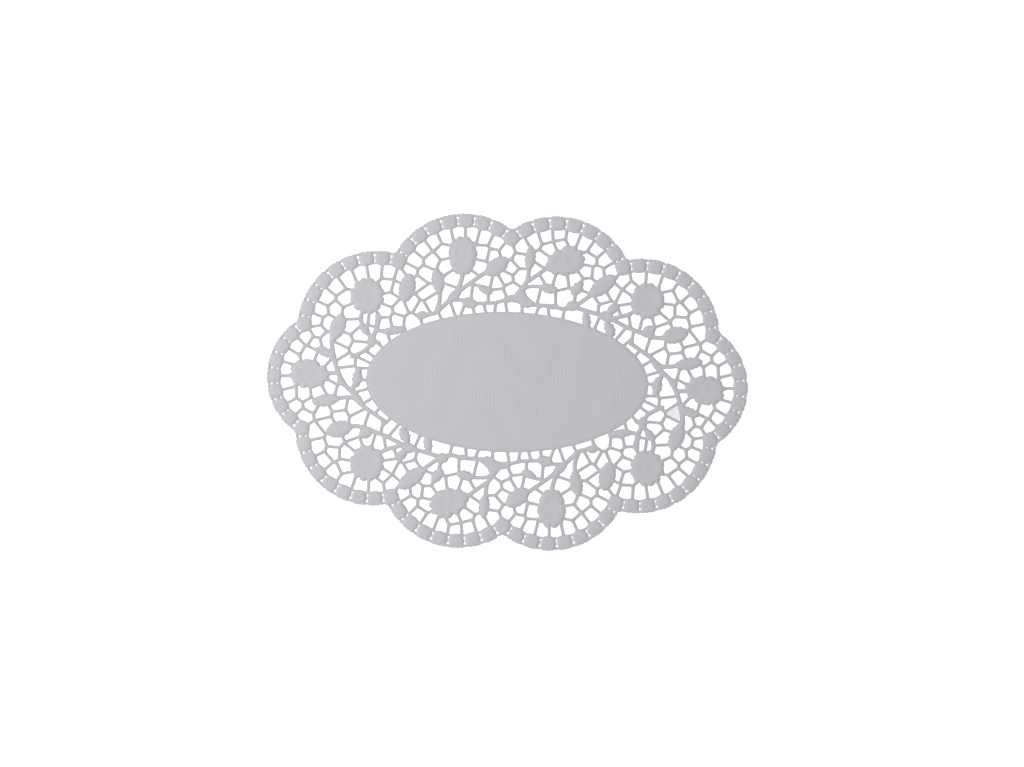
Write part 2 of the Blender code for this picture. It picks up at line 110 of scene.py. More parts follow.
NICK_DRIFT = 2.4  # radians a petal, by which their depth comes and goes
LEAF_FULLNESS = 0.6  # 0.5 makes a leaf an ellipse, more draws its ends to a point
TOOTH = 0.9  # depth of the teeth along a large leaf
TOOTH_PITCH = 2.7
TOOTHED = 9.0  # shorter leaves have smooth edges

# How finely an edge is drawn: coarsely while the gaps are placed, and finely when they are cut.
Detail = namedtuple("Detail", "rim oval petal leaf stem")
COARSE = Detail(rim=3.0, oval=72, petal=2, leaf=5, stem=2)
FINE = Detail(rim=0.7, oval=220, petal=8, leaf=24, stem=5)
KNOB_POINTS = 20

# A scallop's circle, and the row of gaps inside its band: first and last angle, count, depth from the rim.
Scallop = namedtuple("Scallop", "x y radius row_from row_to gaps row_depth")
SCALLOPS = (
    Scallop(-23.8, 49.1, 43.7, 159, 44, 10, 11.2),
    Scallop(26.9, 47.4, 43.9, 124.6, 23.8, 9, 11.2),
    Scallop(73.9, 25.1, 42.9, 108, 3.7, 8, 11.0),
    Scallop(95.0, -2.9, 37.3, 52, -70, 9, 10.6),
    Scallop(71.7, -28.2, 44.1, -20, -115, 8, 11.2),
)

# Taper narrows the end of a flower that points away from tilt.
Flower = namedtuple("Flower", "x y length width tilt taper petals gaps")
FLOWERS = (
    Flower(-24.4, 69.2, 22.7, 15.7, 88, 0.14, 11, 11),
    Flower(31.9, 66.3, 22.4, 16.1, 19, 0.14, 12, 11),
    Flower(77.1, 44.5, 20.4, 19.0, 90, 0.0, 12, 11),
    Flower(108.5, -4.4, 22.6, 16.2, -8, 0.14, 12, 11),
    Flower(77.0, -47.4, 20.2, 18.9, 90, 0.0, 12, 11),
)
# A leaf's or a knob's middle, size and turn.
Spot = namedtuple("Spot", "x y length width tilt")
LEAVES = (
    Spot(-99.8, 16.4, 12.7, 4.9, -22),
    Spot(-93.2, 30.3, 15.5, 8.3, 70),
    Spot(-82.5, 2.3, 10.9, 5.3, 80),
    Spot(-78.4, 29.2, 7.7, 4.4, -58),
    Spot(-62.2, 28.4, 14.0, 4.6, 8),
    Spot(-55.0, 51.8, 16.4, 9.0, 77),
    Spot(-38.0, 55.7, 14.2, 6.8, 99),
    Spot(-20.8, 43.5, 8.8, 5.9, -18),
    Spot(-12.1, 50.8, 8.7, 4.4, -28),
    Spot(-5.7, 63.6, 15.0, 8.9, 36),
    Spot(10.4, 43.6, 9.5, 5.3, -11),
    Spot(12.7, 68.3, 13.5, 5.7, 84),
    Spot(23.0, 51.4, 9.9, 5.3, -13),
    Spot(38.5, 51.5, 9.4, 5.5, 54),
    Spot(43.6, 34.0, 9.4, 4.6, -80),
    Spot(52.5, 52.9, 17.8, 8.6, 38),
    Spot(56.4, 29.2, 9.4, 5.5, -65),
    Spot(58.1, 40.2, 7.2, 5.0, 45),
    Spot(77.6, 27.8, 7.8, 6.1, 42),
    Spot(92.4, 25.8, 14.9, 9.0, 15),
    Spot(99.8, 10.0, 15.5, 6.7, 8),
)

# A stem's width and the points that its middle line bends through.
Stem = namedtuple("Stem", "width bends")
STEMS = (
    Stem(2.4, ((-71.3, 38.0), (-71.3, 34.3), (-72.1, 28.8), (-73.8, 23.7), (-70.0, 21.2))),
    Stem(2.2, ((-80.3, 38.0), (-80.1, 32.1), (-76.5, 26.4), (-73.2, 24.8))),
    Stem(2.2, ((-75.0, 21.2), (-77.6, 17.8), (-83.9, 14.5), (-86.4, 13.8))),
    Stem(2.2, ((-72.0, 28.9), (-70.0, 28.2), (-66.4, 27.9))),
    Stem(2.3, ((-49.0, 34.9), (-43.1, 37.2), (-38.5, 38.9), (-28.5, 48.8), (-24.8, 57.5), (-24.2, 63.0))),
    Stem(2.2, ((-37.2, 50.6), (-37.2, 44.8), (-38.8, 39.7))),
    Stem(2.2, ((-28.5, 48.0), (-23.4, 52.3), (-14.6, 58.5), (-10.5, 61.1))),
    Stem(1.9, ((-20.6, 53.9), (-15.4, 53.0), (-12.7, 51.7))),
    Stem(1.9, ((-31.4, 45.1), (-24.8, 45.1), (-20.5, 43.5), (-12.9, 43.3), (-7.4, 43.6), (0.6, 45.5))),
    Stem(2.2, ((0.6, 45.4), (4.0, 46.8), (9.0, 53.0), (11.1, 56.0), (12.1, 62.7))),
    Stem(2.2, ((11.1, 55.1), (16.5, 58.9), (20.8, 61.9), (25.2, 65.0))),
    Stem(1.9, ((6.1, 49.7), (11.1, 52.3), (16.5, 52.6), (21.5, 52.0))),
    Stem(2.2, ((0.6, 45.4), (5.5, 44.6), (15.1, 42.4), (24.0, 41.8), (30.7, 40.2), (36.2, 41.4))),
    Stem(2.3, ((36.2, 41.4), (46.8, 38.1), (54.3, 36.0), (66.0, 30.1), (80.6, 24.6), (88.6, 24.5))),
    Stem(2.2, ((57.2, 34.7), (66.0, 36.9), (72.1, 40.2))),
    Stem(2.2, ((46.8, 48.4), (40.8, 44.0), (35.8, 41.0))),
    Stem(1.9, ((37.7, 49.0), (36.9, 45.1), (36.2, 41.0))),
    Stem(2.2, ((68.8, 20.6), (74.7, 16.4), (81.4, 11.3), (84.8, 5.1), (84.0, 0.6))),
    Stem(2.2, ((81.0, 11.3), (84.8, 8.8), (89.1, 8.4), (94.1, 9.1))),
    Stem(2.4, ((84.0, 6.6), (89.1, 1.7), (93.2, -5.9), (95.7, -15.2), (96.5, -23.1), (94.6, -28.1))),
    Stem(1.9, ((95.2, -14.3), (97.4, -16.0), (99.6, -16.2))),
    Stem(2.2, ((92.5, -5.0), (96.3, -5.0), (100.7, -5.0))),
)

# The knobs where stems meet or end.
KNOBS = (
    Spot(-74.7, 22.6, 7.0, 4.2, 98),
    Spot(-47.0, 37.2, 5.5, 3.8, 12),
    Spot(-29.1, 47.5, 9.5, 4.8, 44),
    Spot(1.2, 45.8, 7.5, 3.8, 18),
    Spot(24.9, 41.5, 4.4, 3.2, 0),
    Spot(35.6, 41.8, 6.4, 5.6, 0),
    Spot(54.6, 36.1, 7.4, 6.0, -20),
    Spot(68.4, 20.9, 4.2, 2.6, 145),
    Spot(82.5, 9.0, 8.5, 4.2, -49),
    Spot(91.3, -0.4, 5.5, 4.2, -49),
)

# The slit between two beads: depths from the doily's rim, each with half the slit's width there.
SLIT = ((1.8, 1.08), (3.3, 0.0), (4.7, 0.0), (6.1, 0.8))
SLIT_WAIST = 0.26  # half the width between a slit's two ends, where it is open
SLIT_ROUNDING = 0.25
SHUT_BELOW = 0.7  # sine of the angle between the doily's length and the first open slit

# The ribs of the oval
RIB_PITCH = 1.6
RIB_MARGIN = 3.0  # from the oval's edge to the ribbed ground
RIB_START = 4.5  # to where the ribs begin
RIB_FADE = 3.5  # and over which they grow to their full height
RIB_COLUMNS = 4  # columns of faces for each rib
RIB_ROWS = 4.0  # height of a column's faces
RIB_SNAP = 0.01  # a cut this near to a point goes through it
RIBBED = "ribbed"  # marks the faces of the ribbed ground

# Relief
CROWN = 0.95  # from a cut edge to the paper's full height
EDGE_SHADE = "painted_edge_shade"  # mesh attribute for the painted shade along the cut edges: 1 at a cut edge, fading inwards
EDGE_SHADE_REACH = 1.25  # how far inwards the painted shade along a cut edge reaches
BAND_EDGE_SHADE = 0.35  # the band's cut edges get less of the painted shade
EDGE_SAMPLE = 0.25  # between the points that stand for a cut edge
BEAD_LENGTH = 7.9  # across a bead's raised part, along the band
BEAD_WIDTH = 5.4
BEAD_SQUARENESS = 4.0
STRAND_DEPTH = 0.3  # share of the twisted edge's height
STRAND_SLANT = 0.5  # how far aslant a strand lies, in strands
FLOWER_EYE = 0.3  # its raised middle, as a share of its radius
PETAL_CREST = 0.68  # where a petal is highest, as such a share
PETAL_REACH = 0.36  # and how far it runs out on either side
PETAL_RIDGE = 0.55  # share of its height lost between petals
VEIN_PITCH = 1.9  # between the side veins of a leaf
VEIN_SLANT = 0.8
VEIN_DEPTH = 0.25  # share of the blade's height
MIDRIB = 0.35  # half its width
MIDRIB_DEPTH = 0.5  # share of the blade's height
DRAWN_STEP = 1.1  # between points along a straight cut edge
COCKLE = 0.2  # half the height of the oval's soft waves
COCKLE_FADE = 14.0  # they grow to that over this, from its edge

# The scrap
SCRAP_PLACE = (92.9, -19.8)  # near the middle of its gap
SCRAP_MARGIN = 0.8  # between it and the gap's edge
SCRAP_CURL = 0.35  # how far its ends stand up

# The stage, in metres but for the lens
FLOOR_DROP = 0.0001  # from the paper down to the floor
LAMP_SIZE = 1.2
LAMP_PLACE = (-1.3, 0.25, 1.2)
LENS = 90.0
FLOOR_CELLS = 8  # faces along one side of the floor

# Looks
FIBRE_DEPTH = 0.0001  # metres
SHADE_DRIFT_REACH = 0.13  # metres; half the length of the painted shade that drifts from pale at the left to deep at the right
CLOUD_SHARE = 0.4  # of that drift that comes in random clouds of the paper's own tone; the rest is the painted shade
NOISES = (
    ("Fibre", 900.0, {"Detail": 6.0, "Roughness": 0.65, "Distortion": 1.2}),
    ("Cloud", 60.0, {"Detail": 3.0}),
)
CUT_ANGLE = radians(50)  # sharper edges are cut edges
NODE_STEP = 200  # between shader nodes, as the editor shows them


# The pattern's shapes


def on_circle(x, y, radius, angle):
    turn = radians(angle)
    return x + radius * cos(turn), y + radius * sin(turn)


def placed(u, v, x, y, tilt):
    """A point of a motif's own frame, turned by tilt and moved to the motif's middle."""
    turn = radians(tilt)
    return x + u * cos(turn) - v * sin(turn), y + u * sin(turn) + v * cos(turn)


def half_turned(points):
    return [(-x, -y) for x, y in points]


def both_halves(loops):
    return loops + [half_turned(loop) for loop in loops]


def triples(loop):
    """Each item of a closed round with the one before it and the one after it."""
    return zip(loop[-1:] + loop[:-1], loop, loop[1:] + loop[:1])


def all_scallops():
    """The circles (x, y, radius) of the ten scallops, clockwise round the doily."""
    half = [(s.x, s.y, s.radius) for s in SCALLOPS]
    return half + [(-x, -y, radius) for x, y, radius in half]


def notch_centre(first, second, inset, fillet):
    """The middle of the circle that touches two neighbouring scallops from outside, in the notch."""
    (x, y, reach), (next_x, next_y, next_reach) = first, second
    reach = reach - inset + fillet
    next_reach = next_reach - inset + fillet
    step_x = next_x - x
    step_y = next_y - y
    apart = hypot(step_x, step_y)
    along = (reach**2 - next_reach**2 + apart**2) / (2 * apart)
    aside = sqrt(reach**2 - along**2)
    # The scallops run clockwise, so the outside is on the left of the step from one to the next.
    return x + (along * step_x - aside * step_y) / apart, y + (along * step_y + aside * step_x) / apart


def heading(start, end):
    return degrees(atan2(end[1] - start[1], end[0] - start[0]))


def scallop_arcs(inset, fillet):
    """Each scallop's arc at this depth: x, y, radius, first angle, clockwise sweep and the next notch."""
    arcs = []
    for before, circle, after in triples(all_scallops()):
        start = heading(circle, notch_centre(before, circle, inset, fillet))
        notch = notch_centre(circle, after, inset, fillet)
        sweep = (start - heading(circle, notch)) % 360
        arcs.append((circle[0], circle[1], circle[2] - inset, start, sweep, notch))
    return arcs


def scalloped_loop(inset, fillet, step):
    """The scalloped outline, drawn in by inset, as points about step apart, clockwise."""
    loop = []
    for _, (x, y, radius, start, sweep, notch), following in triples(scallop_arcs(inset, fillet)):
        count = max(2, round(radius * radians(sweep) / step))
        loop += [on_circle(x, y, radius, start - sweep * k / count) for k in range(count + 1)]
        first = heading(notch, (x, y))
        turn = (heading(notch, following) - first) % 360
        bends = max(2, round(fillet * radians(turn) / step))
        loop += [on_circle(*notch, fillet, first + turn * k / bends) for k in range(1, bends)]
    return loop


def oval_point(offset, angle):
    turn = radians(angle)
    u = (OVAL_HALF_LENGTH + offset) * cos(turn)
    v = (OVAL_HALF_WIDTH + offset) * sin(turn)
    return placed(u, v, 0.0, 0.0, OVAL_TILT)


def oval_loop(offset, count):
    return [oval_point(offset, 360 * k / count) for k in range(count)]


def flower_point(flower, angle, offset):
    """A point on a flower's edge, or offset outside it."""
    turn = radians(angle)
    petal = 1 - PETAL_DEPTH * (1 - abs(sin(flower.petals * turn / 2)))
    u = (flower.length / 2 * petal + offset) * cos(turn)
    v = (flower.width / 2 * petal + offset) * sin(turn) * (1 + flower.taper * cos(turn))
    return placed(u, v, flower.x, flower.y, flower.tilt)


def flower_loop(flower, detail):
    """A flower's edge, with an uneven nick between its petals when drawn finely."""
    count = detail.petal * flower.petals
    loop = []
    for k in range(count):
        nick = 0.0
        if detail is FINE:
            gap = abs(cos(pi * k / detail.petal)) ** NICK_SHARPNESS
            drift = sin(NICK_DRIFT * round(k / detail.petal) + flower.x)
            nick = PETAL_NICK * gap * (0.5 + 0.5 * drift)
        loop.append(flower_point(flower, 360 * k / count, -nick))
    return loop


def leaf_loop(leaf, detail):
    """A leaf's edge, with pointed ends. A large leaf has teeth when drawn finely."""
    stations = [cos(pi * k / detail.leaf) for k in range(detail.leaf)]
    toothed = detail is FINE and leaf.length >= TOOTHED
    upper = []
    for s in stations:
        bulge = leaf.width / 2 * (1 - s * s) ** LEAF_FULLNESS
        if toothed:
            bulge *= 1 - TOOTH / leaf.width * cos(pi * leaf.length * s / TOOTH_PITCH)
        upper.append((s * leaf.length / 2, bulge))
    outline = upper + [(-u, -bulge) for u, bulge in upper]
    return [placed(u, v, leaf.x, leaf.y, leaf.tilt) for u, v in outline]


def smooth_line(bends, count):
    """Points on the Catmull-Rom curve through the bends, count for each stretch."""
    padded = np.array([bends[0], *bends, bends[-1]])
    line = []
    for a, b, c, d in zip(padded, padded[1:], padded[2:], padded[3:]):
        bend = a - 2.5 * b + 2 * c - 0.5 * d
        twist = -0.5 * a + 1.5 * b - 1.5 * c + 0.5 * d
        for t in [k / count for k in range(count)]:
            line.append(tuple(b + 0.5 * t * (c - a) + t * t * bend + t * t * t * twist))
    return [*line, bends[-1]]


def stem_loop(stem, detail):
    """The strip along a stem's middle line."""
    line = np.array(smooth_line(stem.bends, detail.stem))
    along = np.gradient(line, axis=0)
    along /= np.hypot(along[:, 0], along[:, 1])[:, None]
    aside = np.column_stack([-along[:, 1], along[:, 0]]) * stem.width / 2
    return [tuple(p) for p in np.vstack([line - aside, (line + aside)[::-1]])]


def motif_loops(detail):
    """The edges of every flower, leaf and stem of both halves, anticlockwise."""
    half = [flower_loop(flower, detail) for flower in FLOWERS]
    half += [leaf_loop(leaf, detail) for leaf in LEAVES]
    half += [stem_loop(stem, detail) for stem in STEMS]
    return both_halves(half)


def knob_loops():
    """The edges of the knobs of both halves, anticlockwise."""
    half = []
    for knob in KNOBS:
        rim = [on_circle(0.0, 0.0, 0.5, 360 * k / KNOB_POINTS) for k in range(KNOB_POINTS)]
        half.append([placed(u * knob.length, v * knob.width, knob.x, knob.y, knob.tilt) for u, v in rim])
    return both_halves(half)


# Where the gaps of the net are


def inside(points, loop):
    """Which of the points lie inside the loop."""
    x, y = points.T
    hit = np.zeros(len(points), bool)
    for (ax, ay), (bx, by) in zip(loop, loop[1:] + loop[:1]):
        if ay != by:
            crosses = (ay > y) != (by > y)
            hit ^= crosses & (x < ax + (y - ay) * (bx - ax) / (by - ay))
    return hit


def off_motifs(points, motifs):
    """Which of the points lie on none of the motifs."""
    points = np.asarray(points)
    return ~np.any([inside(points, loop) for loop in motifs], axis=0)


def distance(points, x, y):
    return np.hypot(points[:, 0] - x, points[:, 1] - y)


def angles(first, last, count):
    return [first + (last - first) * k / (count - 1) for k in range(count)]


def row_seeds(motifs):
    """The middles of one half's gaps in rows: inside the band, round the oval and round the flowers."""
    seeds = []
    for s in SCALLOPS:
        for angle in angles(s.row_from, s.row_to, s.gaps):
            seeds.append(on_circle(s.x, s.y, s.radius - s.row_depth, angle))
    seeds += [oval_point(OVAL_OFFSET, angle) for angle in angles(OVAL_FROM, OVAL_TO, OVAL_GAPS)]
    for flower in FLOWERS:
        for k in range(flower.gaps):
            point = flower_point(flower, 360 * (k + 0.5) / flower.gaps, RING_OFFSET)
            if min(hypot(x - point[0], y - point[1]) for x, y in seeds + half_turned(seeds)) > CLEARANCE:
                seeds.append(point)
    return [seed for seed, clear in zip(seeds, off_motifs(seeds, motifs)) if clear]


def net_ground(motifs):
    """Grid points all over the net, outside the oval and the motifs."""
    rim = scalloped_loop(BAND, BAND_FILLET, COARSE.rim)
    x, y = np.meshgrid(*(np.arange(-reach, reach, SAMPLE) for reach in np.max(rim, axis=0)))
    points = np.column_stack([x.ravel(), y.ravel()])
    points = points[inside(points, rim)]
    return points[off_motifs(points, [oval_loop(0.0, COARSE.oval), *motifs])]


def net_seeds():
    """The middles of one half's gaps: the rows, then the free ones, settled between them."""
    motifs = motif_loops(COARSE)
    fixed = row_seeds(motifs)
    ground = net_ground(motifs)
    chance = np.random.default_rng(SEED)
    seeds = np.array(fixed)
    spread = np.full(len(ground), np.inf)
    for x, y in fixed + half_turned(fixed):
        spread = np.minimum(spread, distance(ground, x, y))
    for _ in range(FREE_GAPS):
        x, y = ground[np.argmax(spread * chance.uniform(EVENNESS, 1.0, len(ground)))]
        seeds = np.vstack([seeds, (x, y)])
        for turned in (1, -1):
            spread = np.minimum(spread, distance(ground, turned * x, turned * y))
    for _ in range(SETTLE_STEPS):
        both = np.vstack([seeds, -seeds])
        gaps = (ground[:, None, 0] - both[:, 0]) ** 2 + (ground[:, None, 1] - both[:, 1]) ** 2
        owner = np.argmin(gaps, axis=1)
        count = np.bincount(owner, minlength=len(both))
        middle = np.column_stack([np.bincount(owner, axis, len(both)) for axis in ground.T])
        middle /= np.maximum(count, 1)[:, None]
        # The two halves hold the same ground turned round, but for the grid, so they are averaged.
        middle = (middle[: len(seeds)] - middle[len(seeds) :]) / 2
        for k in range(len(fixed), len(seeds)):
            seeds[k] = ground[np.argmin(distance(ground, *middle[k]))]
    return seeds


def cell_loop(seed, others, bar):
    """The ground nearer to this seed than to the others, less half a bar at each side."""
    corners = ((-REACH, -REACH), (REACH, -REACH), (REACH, REACH), (-REACH, REACH))
    loop = [(seed[0] + x, seed[1] + y) for x, y in corners]
    for other in others:
        normal = other - seed
        apart = hypot(*normal)
        normal = normal / apart
        limit = float(normal @ seed) + apart / 2 - bar / 2
        depth = [limit - (normal[0] * x + normal[1] * y) for x, y in loop]
        cut = []
        for k, (x, y) in enumerate(loop):
            ax, ay = loop[k - 1]
            if (depth[k] >= 0) != (depth[k - 1] >= 0):
                share = depth[k - 1] / (depth[k - 1] - depth[k])
                cut.append((ax + share * (x - ax), ay + share * (y - ay)))
            if depth[k] >= 0:
                cut.append((x, y))
        loop = cut
    return loop


def motif_spines():
    """The line down the middle of each stem and leaf and across each flower, as (start, end) pairs."""
    spines = []
    for stem in STEMS:
        line = smooth_line(stem.bends, COARSE.stem)
        spines += zip(line, line[1:])
    for motif in (*LEAVES, *FLOWERS):
        for size, tilt in ((motif.length, motif.tilt), (motif.width, motif.tilt + 90)):
            spines.append([placed(u, 0.0, motif.x, motif.y, tilt) for u in (size / 2, -size / 2)])
    half = np.array(spines)
    return np.vstack([half, -half])


def side(start, end, point):
    """Positive where the point is on the left of the line from start to end."""
    line = end - start
    way = point - start
    return line[..., 0] * way[..., 1] - line[..., 1] * way[..., 0]


def net_neighbours(seeds):
    """For each seed the nearest others, and which of them a stem, leaf or flower hides from it."""
    spines = motif_spines()
    start = spines[:, 0]
    end = spines[:, 1]
    neighbours = []
    for i, seed in enumerate(seeds):
        order = [j for j in np.argsort(distance(seeds, *seed)) if j != i][:NEIGHBOURS]
        hidden = set()
        for j in order:
            across = side(start, end, seed) * side(start, end, seeds[j]) < 0
            along = side(seed, seeds[j], start) * side(seed, seeds[j], end) < 0
            if np.any(across & along):
                hidden.add(j)
        neighbours.append((order, hidden))
    return neighbours


def reached(seed, points, triangles, mine):
    """Those of the triangles that join up with the one that the seed lies in."""
    owner = {}
    found = []
    for t in mine:
        a, b, c = triangles[t]
        for edge in ((a, b), (b, c), (c, a)):
            owner[edge] = t
        corners = [np.array(points[i]) for i in (a, b, c)]
        if all(side(corners[k - 1], corners[k], seed) >= 0 for k in range(3)):
            found = [t]
    for t in found:
        a, b, c = triangles[t]
        for edge in ((b, a), (c, b), (a, c)):
            if edge in owner and owner[edge] not in found:
                found.append(owner[edge])
    return found


def border(triangles):
    """The loop of points round the triangles."""
    ahead = {}
    edges = {(t[k - 1], t[k]) for t in triangles for k in range(3)}
    for a, b in edges:
        if (b, a) not in edges:
            ahead.setdefault(a, []).append(b)
    loops = []
    while ahead:
        chain = [min(ahead)]
        while True:
            following = ahead[chain[-1]]
            step = following.pop()
            if not following:
                del ahead[chain[-1]]
            if step == chain[0]:
                break
            chain.append(step)
        loops.append(chain)
    return max(loops, key=len)


def ground_triangles(loops):
    """Triangles over all the loops: (points, triangles, the loops that each triangle lies in)."""
    points = []
    faces = []
    for loop in loops:
        start = len(points)
        points += [Vector(p) for p in loop]
        faces.append(list(range(start, len(points))))
    points, _, triangles, _, _, owners = delaunay_2d_cdt(points, [], faces, 0, WELD)
    return points, triangles, owners


def bead_rim(step):
    """The band's inner edge, anticlockwise, which bulges at each bead."""
    loop = []
    for x, y in scalloped_loop(BAND, BAND_FILLET, step)[::-1]:
        circle, _, phase, _ = band_place(np.array([(x, y)]))
        cx, cy, _ = all_scallops()[circle[0]]
        bulge = BEAD_BULGE * cos(2 * pi * phase[0])
        reach = hypot(x - cx, y - cy)
        share = (reach - bulge) / reach
        loop.append((cx + share * (x - cx), cy + share * (y - cy)))
    return loop


@lru_cache
def gap_loops(bar):
    """The edges of one half's gaps. A gap is the ground nearer to its seed than to any other seed in
    sight, less half a bar at each side, cut off by the band, the oval and the motifs."""
    seeds = net_seeds()
    both = np.vstack([seeds, -seeds])
    neighbours = net_neighbours(both)
    edges = [bead_rim(FINE.rim), oval_loop(0.0, FINE.oval), *motif_loops(FINE), *knob_loops()]
    while True:
        cells = []
        for seed, (order, hidden) in zip(both, neighbours):
            cells.append(cell_loop(seed, [both[j] for j in order if j not in hidden], bar))
        points, triangles, owners = ground_triangles([*cells, *edges])
        rim_index = len(cells)
        mine = [[] for _ in cells]
        for t, owner in enumerate(owners):
            # Ground of the net lies inside the rim, the first of the edges, and in none of the others.
            if max(owner, default=None) == rim_index:
                for i in owner:
                    if i != rim_index:
                        mine[i].append(t)
        taken = {}
        clashes = set()
        gaps = []
        for i, seed in enumerate(both):
            gaps.append(reached(seed, points, triangles, mine[i]))
            for t in gaps[i]:
                if t in taken:
                    clashes.add((taken[t], i))
                taken[t] = i
        if not clashes:
            break
        for i, j in clashes:
            neighbours[i][1].discard(j)
            neighbours[j][1].discard(i)
    chains = [border([triangles[t] for t in gap]) for gap in gaps[: len(seeds)] if gap]
    return [[tuple(points[i]) for i in chain] for chain in chains]


# Drawing the cut edges


def area(loop):
    ahead = loop[1:] + loop[:1]
    return sum(ax * by - bx * ay for (ax, ay), (bx, by) in zip(loop, ahead)) / 2


def thinned(loop, tolerance):
    """The loop without the points that stray less than tolerance from their neighbours' line."""
    kept = list(loop)
    while len(kept) > LEAST_CORNERS:
        strays = []
        for (ax, ay), (x, y), (bx, by) in triples(kept):
            base = hypot(bx - ax, by - ay)
            strays.append(abs((bx - ax) * (y - ay) - (by - ay) * (x - ax)) / base if base else 0.0)
        least = min(strays)
        if least > tolerance:
            break
        del kept[strays.index(least)]
    return kept


def rounded(loop, radius):
    """The loop with each corner cut back and bent round, by no more than half of the sides beside it."""
    soft = []
    for before, corner, after in triples([Vector(point) for point in loop]):
        before = before - corner
        after = after - corner
        turn = pi - before.angle(after)
        most = min(before.length, after.length) * CORNER_SHARE
        back = min(radius * tan(turn / 2), most)
        start = corner + before.normalized() * back
        end = corner + after.normalized() * back
        bends = 1 + round(turn / radians(CORNER_STEP))
        for i in range(bends + 1):
            t = i / bends
            soft.append(tuple(start * (1 - t) ** 2 + corner * 2 * t * (1 - t) + end * t**2))
    return soft


def stepped(loop, step):
    """The loop with points added along its longer sides, and without points that nearly meet."""
    points = []
    for k, (x, y) in enumerate(loop):
        ax, ay = loop[k - 1]
        length = hypot(x - ax, y - ay)
        count = max(1, round(length / step))
        if length > step / 6:
            points += [(ax + (x - ax) * i / count, ay + (y - ay) * i / count) for i in range(count)]
    return points


def rope_rim():
    """The doily's outer edge, which dips between the strands of its twisted border."""
    plain = scalloped_loop(0.0, NOTCH_FILLET, ROPE_STRAND / 5)
    between_beads = np.abs(np.sin(np.pi * band_place(np.array(plain))[2]))
    loop = []
    way = 0.0
    for ((ax, ay), (x, y), (bx, by)), between in zip(triples(plain), between_beads):
        way += hypot(x - ax, y - ay)
        strand = way / ROPE_STRAND
        dip = ROPE_NICK * (ROPE_EVEN + (1 - ROPE_EVEN) * sin(ROPE_DRIFT * strand))
        dip *= 1 - abs(sin(pi * strand))
        dip += BEAD_NICK * between**BEAD_NICK_SHARPNESS
        base = hypot(bx - ax, by - ay)
        loop.append((x + dip * (by - ay) / base, y - dip * (bx - ax) / base))
    return loop


def slit_loops():
    """The slits between neighbouring beads. One that lies more along the doily is shut in the middle."""
    loops = []
    for x, y, radius, start, sweep, _ in scallop_arcs(BAND / 2, 0.0):
        radius += BAND / 2
        for k in range(BEADS):
            middle = start - sweep * (k + 0.5) / BEADS
            waist = SLIT_WAIST if abs(sin(radians(middle))) > SHUT_BELOW else 0.0
            right = [(depth, max(half, waist)) for depth, half in SLIT]
            for part in [right] if waist else [right[:2], right[2:]]:
                outline = part + [(depth, -half) for depth, half in reversed(part) if half]
                loop = []
                for depth, aside in outline:
                    angle = middle + degrees(aside / (radius - depth))
                    loop.append(on_circle(x, y, radius - depth, angle))
                loops.append(rounded(loop, SLIT_ROUNDING))
    return loops


# Where a point of the sheet lies


def band_place(points):
    """Each point's scallop, depth from the rim, way along it in beads, and a bead's length there."""
    arcs = scallop_arcs(BAND / 2, 0.0)
    depths = [radius + BAND / 2 - distance(points, x, y) for x, y, radius, *_ in arcs]
    circle = np.argmax(depths, axis=0)
    depth = np.max(depths, axis=0)
    x, y, radius, start, sweep = np.array([arc[:5] for arc in arcs])[circle].T
    angle = np.degrees(np.arctan2(points[:, 1] - y, points[:, 0] - x))
    phase = ((start - angle + 90) % 360 - 90) / sweep * BEADS
    return circle, depth, phase, radius * np.radians(sweep) / BEADS


def own_frame(points, x, y, tilt):
    """The points in a motif's own frame, which has its length along the first axis."""
    turn = radians(tilt)
    x = points[:, 0] - x
    y = points[:, 1] - y
    return x * cos(turn) + y * sin(turn), y * cos(turn) - x * sin(turn)


def bump(reach):
    """1 in the middle, 0 at reach 1 and beyond, smooth between."""
    return np.clip(1 - reach**2, 0, 1) ** 2


def cut_depth(points, loops):
    """How far each point lies from the nearest cut edge."""
    edge = [point for loop in loops for point in stepped(loop, EDGE_SAMPLE)]
    tree = KDTree(len(edge))
    for k, (x, y) in enumerate(edge):
        tree.insert((x, y, 0.0), k)
    tree.balance()
    return np.array([tree.find((x, y, 0.0))[2] for x, y in points])


def bead_relief(points):
    """Domed, squarish beads."""
    _, depth, phase, length = band_place(points)
    along = np.abs(phase - np.round(phase)) * length / (BEAD_LENGTH / 2)
    across = np.abs(depth - ROPE - (BAND - ROPE) / 2) / (BEAD_WIDTH / 2)
    reach = along**BEAD_SQUARENESS + across**BEAD_SQUARENESS
    return np.sqrt(np.clip(1 - reach, 0, 1))


def rope_relief(points):
    """The strands of the twisted edge, which lie aslant."""
    _, depth, phase, length = band_place(points)
    strand = phase * length / ROPE_STRAND + depth / ROPE * STRAND_SLANT
    height = 1 - STRAND_DEPTH + STRAND_DEPTH * np.cos(2 * np.pi * strand)
    return bump((depth - ROPE / 2) / (ROPE / 2)) * height


def flower_relief(points, flower):
    """Petals round a raised eye."""
    u, v = own_frame(points, flower.x, flower.y, flower.tilt)
    u, v = u / flower.length, v / flower.width
    v /= 1 + flower.taper * np.cos(np.arctan2(v, u))
    turn = np.arctan2(v, u)
    out = np.hypot(u, v) * 2
    ridge = np.abs(np.sin(flower.petals * turn / 2))
    petal = bump(np.clip((out - PETAL_CREST) / PETAL_REACH, -1, 1))
    petal *= 1 - PETAL_RIDGE + PETAL_RIDGE * ridge
    return np.maximum(petal, bump(out / FLOWER_EYE))


